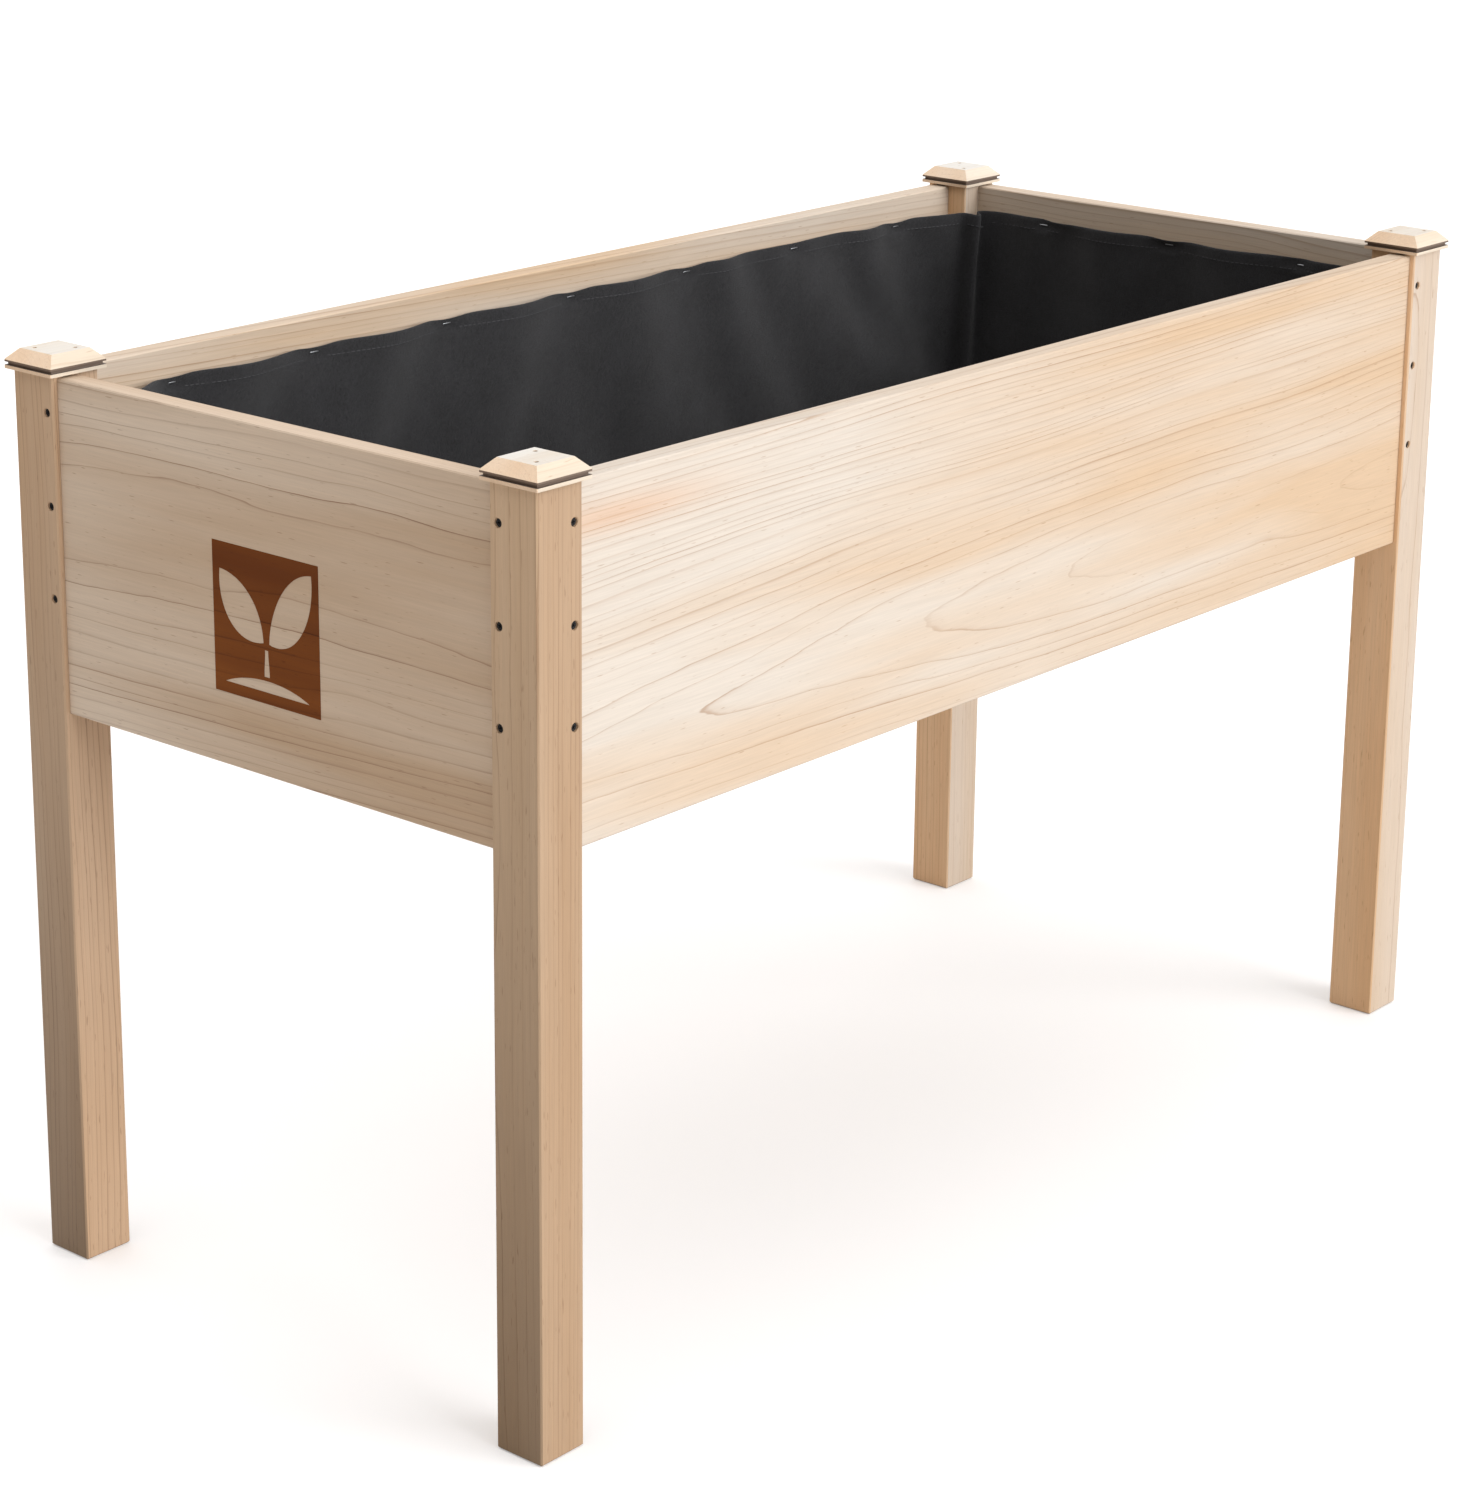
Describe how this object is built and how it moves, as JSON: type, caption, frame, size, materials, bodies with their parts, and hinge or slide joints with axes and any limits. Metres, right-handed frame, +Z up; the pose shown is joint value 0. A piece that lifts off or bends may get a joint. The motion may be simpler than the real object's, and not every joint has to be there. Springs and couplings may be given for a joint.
{
  "type": "raised planter on legs",
  "caption": "Waist-high rectangular wooden planter trough on corner posts, with bevelled post caps, screwed tongue joints, a slatted floor and a fabric liner.",
  "frame": {"origin": "on the floor, under the middle of the planter", "axes": "+X along the length towards the plain end, +Y across the width towards the rear long side, +Z up; the marked end panel is at -X"},
  "size_m": [1.22, 0.57, 0.762],
  "materials": {
    "post_wood": "planed, unfinished softwood",
    "panel_wood": "planed, unfinished softwood, pale, with wide growth rings",
    "cap_wood": "planed, unfinished softwood, bevelled",
    "floor_wood": "sawn, unfinished softwood",
    "liner_fabric": "black non-woven planting fabric",
    "black_screw": "black phosphate coating on steel",
    "zinc_fastener": "bright zinc plating on steel"
  },
  "bodies": {
    "root": {"cap_front_left": "cap_wood", "cap_front_right": "cap_wood", "cap_nails": "black_screw", "cap_rear_left": "cap_wood", "cap_rear_right": "cap_wood", "liner": "liner_fabric", "liner_staples": "zinc_fastener", "panel_front": "panel_wood", "panel_left": "panel_wood", "panel_rear": "panel_wood", "panel_right": "panel_wood", "panel_screws": "black_screw", "post_front_left": "post_wood", "post_front_right": "post_wood", "post_rear_left": "post_wood", "post_rear_right": "post_wood", "rail_front": "floor_wood", "rail_left": "floor_wood", "rail_rear": "floor_wood", "rail_right": "floor_wood", "rail_screws": "zinc_fastener", "slat_01": "floor_wood", "slat_02": "floor_wood", "slat_03": "floor_wood", "slat_04": "floor_wood", "slat_05": "floor_wood", "slat_06": "floor_wood", "slat_07": "floor_wood", "slat_08": "floor_wood", "slat_09": "floor_wood", "slat_10": "floor_wood", "slat_11": "floor_wood", "slat_12": "floor_wood", "slat_nails": "zinc_fastener"}
  },
  "joints": []
}
